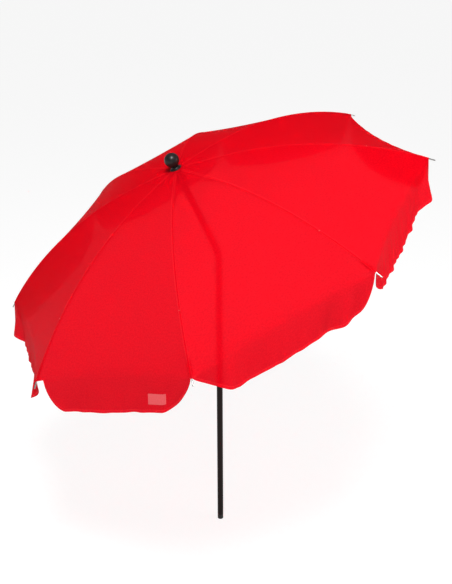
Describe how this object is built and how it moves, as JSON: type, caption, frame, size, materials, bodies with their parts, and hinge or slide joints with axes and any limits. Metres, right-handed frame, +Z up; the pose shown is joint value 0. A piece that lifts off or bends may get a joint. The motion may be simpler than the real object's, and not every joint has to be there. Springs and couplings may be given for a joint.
{
  "type": "parasol",
  "caption": "Tilting garden parasol without a stand: slim pole with a clamped knuckle, notched crown and runner, steel ribs and stretchers, and a red domed canopy with a valance",
  "frame": {"origin": "middle of the lower pole's foot, on the underside of the foot cap", "axes": "+Z up the lower pole; the canopy leans towards -X about the tilt bolt, which lies along Y"},
  "size_m": [1.595, 1.78, 1.7262],
  "materials": {
    "pole_paint": "dark brown powder coat, satin",
    "black_moulding": "black moulded plastic, lightly textured",
    "knuckle_casting": "black painted casting",
    "zinc_steel": "bright zinc plate",
    "rib_steel": "drawn steel rod, silver grey",
    "bracket_steel": "pressed steel sheet",
    "knob_brass": "plain brass",
    "nylon": "natural nylon",
    "finial_black": "black plastic, half gloss",
    "red_cloth": "woven polyester, bright red"
  },
  "bodies": {
    "lower_pole": {"lower_pole": "pole_paint", "foot_cap": "black_moulding", "tilt_fork": "knuckle_casting", "fork_pin": "zinc_steel", "tilt_bolt": "zinc_steel", "bolt_washer": "zinc_steel"},
    "clamp_knob": {"clamp_knob": "black_moulding", "knob_nut": "knob_brass"},
    "upper_pole": {"upper_pole": "pole_paint", "tilt_tongue": "knuckle_casting", "tongue_pin": "zinc_steel", "friction_washers": "nylon", "crown": "black_moulding", "crown_ring": "zinc_steel", "crown_pin": "zinc_steel", "finial_bolt": "zinc_steel", "finial_collar": "finial_black", "finial_ball": "finial_black", "canopy_cap": "red_cloth"},
    "runner": {"runner": "black_moulding", "runner_ring": "zinc_steel"},
    "runner_screw": {"runner_screw": "black_moulding"},
    "rib_1": {"rib_1": "rib_steel", "rib_bracket_1": "bracket_steel", "canopy_panel_1": "red_cloth"},
    "stretcher_1": {"stretcher_1": "rib_steel"},
    "rib_2": {"rib_2": "rib_steel", "rib_bracket_2": "bracket_steel", "canopy_panel_2": "red_cloth"},
    "stretcher_2": {"stretcher_2": "rib_steel"},
    "rib_3": {"rib_3": "rib_steel", "rib_bracket_3": "bracket_steel", "canopy_panel_3": "red_cloth"},
    "stretcher_3": {"stretcher_3": "rib_steel"},
    "rib_4": {"rib_4": "rib_steel", "rib_bracket_4": "bracket_steel", "canopy_panel_4": "red_cloth"},
    "stretcher_4": {"stretcher_4": "rib_steel"},
    "rib_5": {"rib_5": "rib_steel", "rib_bracket_5": "bracket_steel", "canopy_panel_5": "red_cloth"},
    "stretcher_5": {"stretcher_5": "rib_steel"},
    "rib_6": {"rib_6": "rib_steel", "rib_bracket_6": "bracket_steel", "canopy_panel_6": "red_cloth"},
    "stretcher_6": {"stretcher_6": "rib_steel"},
    "rib_7": {"rib_7": "rib_steel", "rib_bracket_7": "bracket_steel", "canopy_panel_7": "red_cloth"},
    "stretcher_7": {"stretcher_7": "rib_steel"},
    "rib_8": {"rib_8": "rib_steel", "rib_bracket_8": "bracket_steel", "canopy_panel_8": "red_cloth"},
    "stretcher_8": {"stretcher_8": "rib_steel"}
  },
  "joints": [
    {"name": "tilt", "type": "hinge", "parent": "lower_pole", "child": "upper_pole", "pos_m": [0, 0, 1.22], "axis": [0, 1, 0], "range_deg": [0, 26.4]},
    {"name": "knob_turn", "type": "hinge", "parent": "lower_pole", "child": "clamp_knob", "pos_m": [0, 0.02, 1.22], "axis": [0, 1, 0], "range_deg": [0, 180]},
    {"name": "fold", "type": "hinge", "parent": "upper_pole", "child": "rib_1", "pos_m": [-0.19276, -0.00385, 1.56418], "axis": [0.1724, -0.9813, 0.0856], "range_deg": [0, 66.5], "deforming": ["canopy_panel_1"]},
    {"name": "rib_2_fold", "type": "hinge", "parent": "upper_pole", "child": "rib_2", "pos_m": [-0.18518, -0.0166, 1.56795], "axis": [0.7435, -0.5577, 0.3691], "range_deg": [0, 66.5], "deforming": ["canopy_panel_2"]},
    {"name": "rib_3_fold", "type": "hinge", "parent": "upper_pole", "child": "rib_3", "pos_m": [-0.17174, -0.01963, 1.57462], "axis": [0.879, 0.1925, 0.4363], "range_deg": [0, 66.5], "deforming": ["canopy_panel_3"]},
    {"name": "rib_4_fold", "type": "hinge", "parent": "upper_pole", "child": "rib_4", "pos_m": [-0.16032, -0.01115, 1.58029], "axis": [0.4996, 0.83, 0.248], "range_deg": [0, 66.5], "deforming": ["canopy_panel_4"]},
    {"name": "rib_5_fold", "type": "hinge", "parent": "upper_pole", "child": "rib_5", "pos_m": [-0.15761, 0.00385, 1.58164], "axis": [-0.1724, 0.9813, -0.0856], "range_deg": [0, 66.5], "deforming": ["canopy_panel_5"]},
    {"name": "rib_6_fold", "type": "hinge", "parent": "upper_pole", "child": "rib_6", "pos_m": [-0.1652, 0.0166, 1.57787], "axis": [-0.7435, 0.5577, -0.3691], "range_deg": [0, 66.5], "deforming": ["canopy_panel_6"]},
    {"name": "rib_7_fold", "type": "hinge", "parent": "upper_pole", "child": "rib_7", "pos_m": [-0.17863, 0.01963, 1.5712], "axis": [-0.879, -0.1925, -0.4363], "range_deg": [0, 66.5], "deforming": ["canopy_panel_7"]},
    {"name": "rib_8_fold", "type": "hinge", "parent": "upper_pole", "child": "rib_8", "pos_m": [-0.19006, 0.01115, 1.56553], "axis": [-0.4996, -0.83, -0.248], "range_deg": [0, 66.5], "deforming": ["canopy_panel_8"]},
    {"name": "stretcher_1_fold", "type": "hinge", "parent": "rib_1", "child": "stretcher_1", "pos_m": [-0.34407, -0.03904, 1.46556], "axis": [0.1724, -0.9813, 0.0856], "range_deg": [-133, 0]},
    {"name": "stretcher_2_fold", "type": "hinge", "parent": "rib_2", "child": "stretcher_2", "pos_m": [-0.26713, -0.16832, 1.50375], "axis": [0.7435, -0.5577, 0.3691], "range_deg": [-133, 0]},
    {"name": "stretcher_3_fold", "type": "hinge", "parent": "rib_3", "child": "stretcher_3", "pos_m": [-0.13085, -0.199, 1.5714], "axis": [0.879, 0.1925, 0.4363], "range_deg": [-133, 0]},
    {"name": "stretcher_4_fold", "type": "hinge", "parent": "rib_4", "child": "stretcher_4", "pos_m": [-0.01506, -0.1131, 1.62888], "axis": [0.4996, 0.83, 0.248], "range_deg": [-133, 0]},
    {"name": "stretcher_5_fold", "type": "hinge", "parent": "rib_5", "child": "stretcher_5", "pos_m": [0.01242, 0.03904, 1.64253], "axis": [-0.1724, 0.9813, -0.0856], "range_deg": [-133, 0]},
    {"name": "stretcher_6_fold", "type": "hinge", "parent": "rib_6", "child": "stretcher_6", "pos_m": [-0.06451, 0.16832, 1.60434], "axis": [-0.7435, 0.5577, -0.3691], "range_deg": [-133, 0]},
    {"name": "stretcher_7_fold", "type": "hinge", "parent": "rib_7", "child": "stretcher_7", "pos_m": [-0.20079, 0.199, 1.53669], "axis": [-0.879, -0.1925, -0.4363], "range_deg": [-133, 0]},
    {"name": "stretcher_8_fold", "type": "hinge", "parent": "rib_8", "child": "stretcher_8", "pos_m": [-0.31659, 0.1131, 1.4792], "axis": [-0.4996, -0.83, -0.248], "range_deg": [-133, 0]},
    {"name": "runner_fold", "type": "hinge", "parent": "stretcher_1", "child": "runner", "pos_m": [-0.17403, -0.00385, 1.52645], "axis": [0.1724, -0.9813, 0.0856], "range_deg": [0, 66.5]},
    {"name": "runner_screw_turn", "type": "hinge", "parent": "runner", "child": "runner_screw", "pos_m": [-0.15889, -0.00692, 1.51667], "axis": [-0.7461, -0.5534, -0.3703], "range_deg": [0, 180]}
  ],
  "couplings": [
    {"joint": "rib_2_fold", "follows": "fold", "ratio": 1},
    {"joint": "rib_3_fold", "follows": "fold", "ratio": 1},
    {"joint": "rib_4_fold", "follows": "fold", "ratio": 1},
    {"joint": "rib_5_fold", "follows": "fold", "ratio": 1},
    {"joint": "rib_6_fold", "follows": "fold", "ratio": 1},
    {"joint": "rib_7_fold", "follows": "fold", "ratio": 1},
    {"joint": "rib_8_fold", "follows": "fold", "ratio": 1},
    {"joint": "stretcher_1_fold", "follows": "fold", "ratio": -2},
    {"joint": "stretcher_2_fold", "follows": "fold", "ratio": -2},
    {"joint": "stretcher_3_fold", "follows": "fold", "ratio": -2},
    {"joint": "stretcher_4_fold", "follows": "fold", "ratio": -2},
    {"joint": "stretcher_5_fold", "follows": "fold", "ratio": -2},
    {"joint": "stretcher_6_fold", "follows": "fold", "ratio": -2},
    {"joint": "stretcher_7_fold", "follows": "fold", "ratio": -2},
    {"joint": "stretcher_8_fold", "follows": "fold", "ratio": -2},
    {"joint": "runner_fold", "follows": "fold", "ratio": 1}
  ]
}
